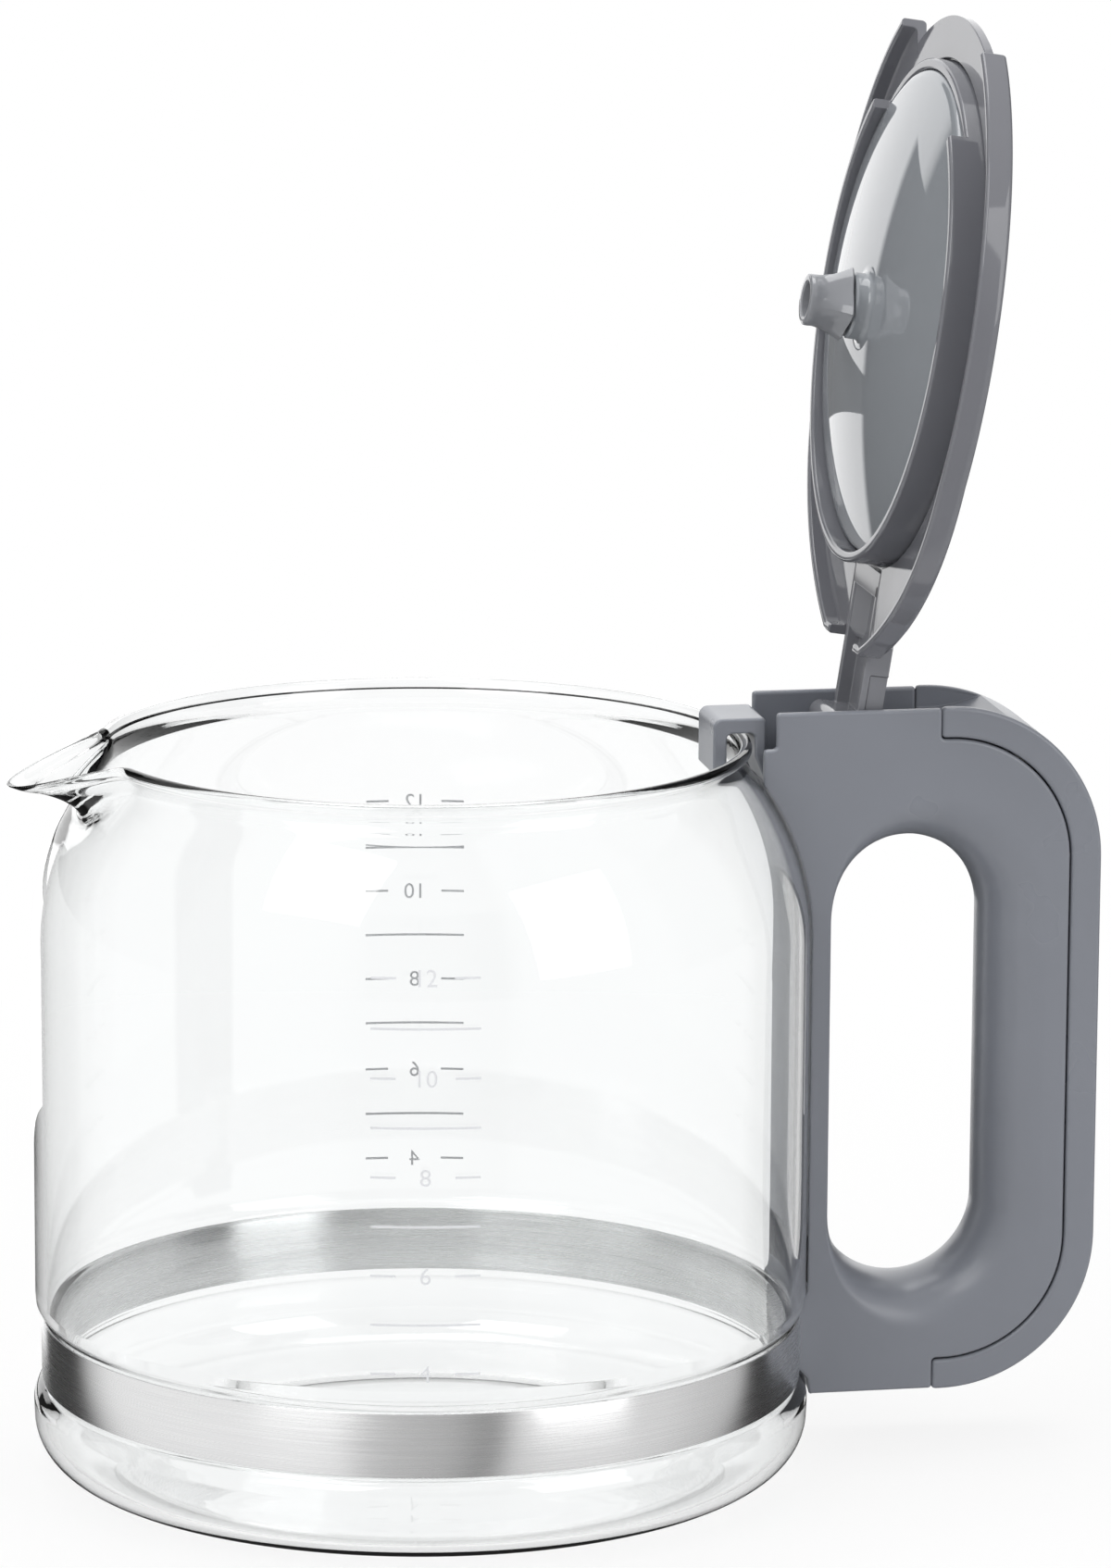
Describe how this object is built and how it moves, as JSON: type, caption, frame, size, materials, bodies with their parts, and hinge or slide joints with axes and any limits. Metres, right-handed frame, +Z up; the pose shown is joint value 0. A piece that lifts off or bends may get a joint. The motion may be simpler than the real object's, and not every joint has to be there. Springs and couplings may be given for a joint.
{
  "type": "coffee carafe",
  "caption": "Glass coffee carafe with a steel band, a grey plastic handle and a hinged drip-through lid standing open.",
  "frame": {"origin": "on the jug's axis, at the flat underside that it stands on", "axes": "+Z up along the jug's axis, +X towards the handle, -X towards the spout"},
  "size_m": [0.212, 0.1508, 0.282],
  "materials": {
    "glass": "clear and polished",
    "steel": "brushed along the band",
    "grey_plastic": "fine satin moulding",
    "gloss_plastic": "smooth and shiny",
    "rubber": "dull"
  },
  "bodies": {
    "jug": {"glass_jug": "glass", "steel_band": "steel", "band_clamp": "steel", "band_screw": "steel", "handle_body": "grey_plastic", "grip_cover": "grey_plastic", "rim_hook": "grey_plastic", "cushion_strip": "rubber", "hinge_pin": "steel"},
    "lid": {"lid_cover": "grey_plastic", "lid_ring": "grey_plastic", "drip_funnel": "gloss_plastic", "drip_nozzle": "grey_plastic", "lid_arm": "grey_plastic"}
  },
  "joints": [
    {"name": "lid_hinge", "type": "hinge", "parent": "jug", "child": "lid", "pos_m": [0.0805, 0, 0.1458], "axis": [0, 1, 0], "range_deg": [-98.8, 0]}
  ]
}
